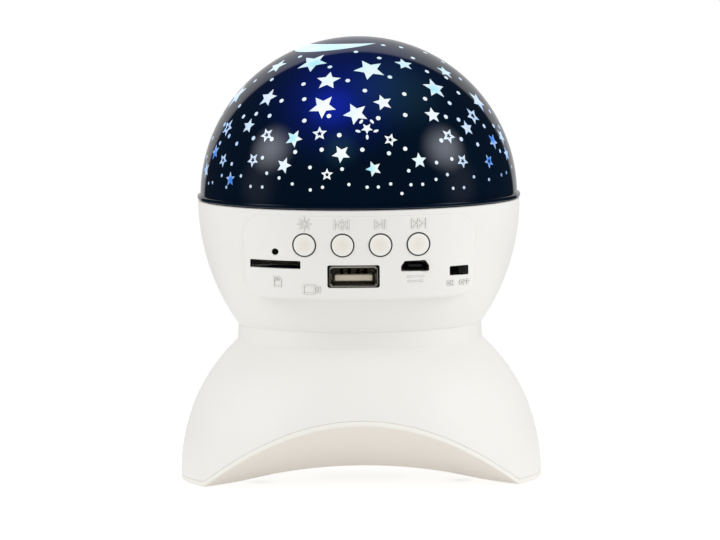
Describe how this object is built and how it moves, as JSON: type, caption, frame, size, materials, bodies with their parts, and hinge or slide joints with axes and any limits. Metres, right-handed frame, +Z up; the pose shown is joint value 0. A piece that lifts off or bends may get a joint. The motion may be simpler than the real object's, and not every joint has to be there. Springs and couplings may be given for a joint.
{
  "type": "star night light projector",
  "caption": "Night light projector: a dark star-patterned dome turns on a white bowl with a control panel, on a rounded base with an arched underside.",
  "frame": {"origin": "on the floor, under the middle of the base", "axes": "+Z up through the top of the dome, -Y towards the control panel's side, +X to the right seen from the front"},
  "size_m": [0.1078, 0.1012, 0.132],
  "materials": {
    "white_shell": "satin moulded ABS",
    "cream_cover": "fine matt moulded ABS",
    "rubber": "soft grey rubber",
    "screw_steel": "zinc plated",
    "painted_steel": "black paint",
    "cone_paper": "black pulp",
    "ferrite": "sintered ferrite",
    "circuit_board": "green solder mask",
    "socket_steel": "nickel plated sheet",
    "socket_grey": "moulded nylon",
    "black_plastic": "moulded nylon",
    "capsule_aluminium": "plain can",
    "cell": "film-wrapped can, plain blue",
    "inner_plastic": "natural ABS",
    "motor_steel": "bright drawn can",
    "gear_plastic": "acetal",
    "clear_epoxy": "clear epoxy lens",
    "dome_plastic": "polished dark translucent plastic",
    "button_white": "gloss moulded ABS",
    "plunger_brown": "moulded nylon"
  },
  "bodies": {
    "housing": {"base_shell": "white_shell", "bottom_cover": "cream_cover", "rubber_feet": "rubber", "base_screws": "screw_steel", "speaker_basket": "painted_steel", "speaker_cone": "cone_paper", "speaker_magnet": "ferrite", "neck_screws": "screw_steel", "bowl_housing": "white_shell", "control_panel": "white_shell", "control_board": "circuit_board", "board_screws": "screw_steel", "button_switches": "black_plastic", "usb_shell": "socket_steel", "usb_tongue": "socket_grey", "micro_usb_shell": "socket_steel", "micro_usb_tongue": "black_plastic", "card_socket": "socket_steel", "power_switch_body": "black_plastic", "microphone": "capsule_aluminium", "battery_cell": "cell", "battery_holder": "inner_plastic", "deck_plate": "inner_plastic", "deck_screws": "screw_steel", "gear_motor": "motor_steel", "motor_screws": "screw_steel", "led_board": "circuit_board", "led_board_screws": "screw_steel", "led_emitters": "clear_epoxy"},
    "turntable_wheel": {"turntable": "inner_plastic"},
    "dome": {"star_dome": "dome_plastic"},
    "drive": {"drive_pinion": "gear_plastic", "motor_shaft": "motor_steel"},
    "slide_knob": {"power_knob": "black_plastic"},
    "led_key": {"led_button": "button_white", "led_switch_plunger": "plunger_brown"},
    "previous_key": {"previous_button": "button_white", "previous_switch_plunger": "plunger_brown"},
    "play_key": {"play_button": "button_white", "play_switch_plunger": "plunger_brown"},
    "next_key": {"next_button": "button_white", "next_switch_plunger": "plunger_brown"}
  },
  "joints": [
    {"name": "dome_spin", "type": "hinge", "parent": "housing", "child": "turntable_wheel", "pos_m": [0, 0, 0.0782], "axis": [0, 0, 1], "continuous": true},
    {"name": "pinion_spin", "type": "hinge", "parent": "housing", "child": "drive", "pos_m": [0, 0.033, 0.0782], "axis": [0, 0, 1], "continuous": true},
    {"name": "dome_lift", "type": "slide", "parent": "turntable_wheel", "child": "dome", "axis": [0, 0, 1], "range_m": [0, 0.06]},
    {"name": "power_slide", "type": "slide", "parent": "housing", "child": "slide_knob", "axis": [-1, 0, 0], "range_m": [0, 0.0022]},
    {"name": "led_press", "type": "slide", "parent": "housing", "child": "led_key", "axis": [0, 1, 0], "range_m": [0, 0.0005], "stiffness_N_per_m": 2500, "springref_m": -0.0002},
    {"name": "previous_press", "type": "slide", "parent": "housing", "child": "previous_key", "axis": [0, 1, 0], "range_m": [0, 0.0005], "stiffness_N_per_m": 2500, "springref_m": -0.0002},
    {"name": "play_press", "type": "slide", "parent": "housing", "child": "play_key", "axis": [0, 1, 0], "range_m": [0, 0.0005], "stiffness_N_per_m": 2500, "springref_m": -0.0002},
    {"name": "next_press", "type": "slide", "parent": "housing", "child": "next_key", "axis": [0, 1, 0], "range_m": [0, 0.0005], "stiffness_N_per_m": 2500, "springref_m": -0.0002}
  ],
  "couplings": [
    {"joint": "pinion_spin", "follows": "dome_spin", "ratio": -3.125}
  ]
}
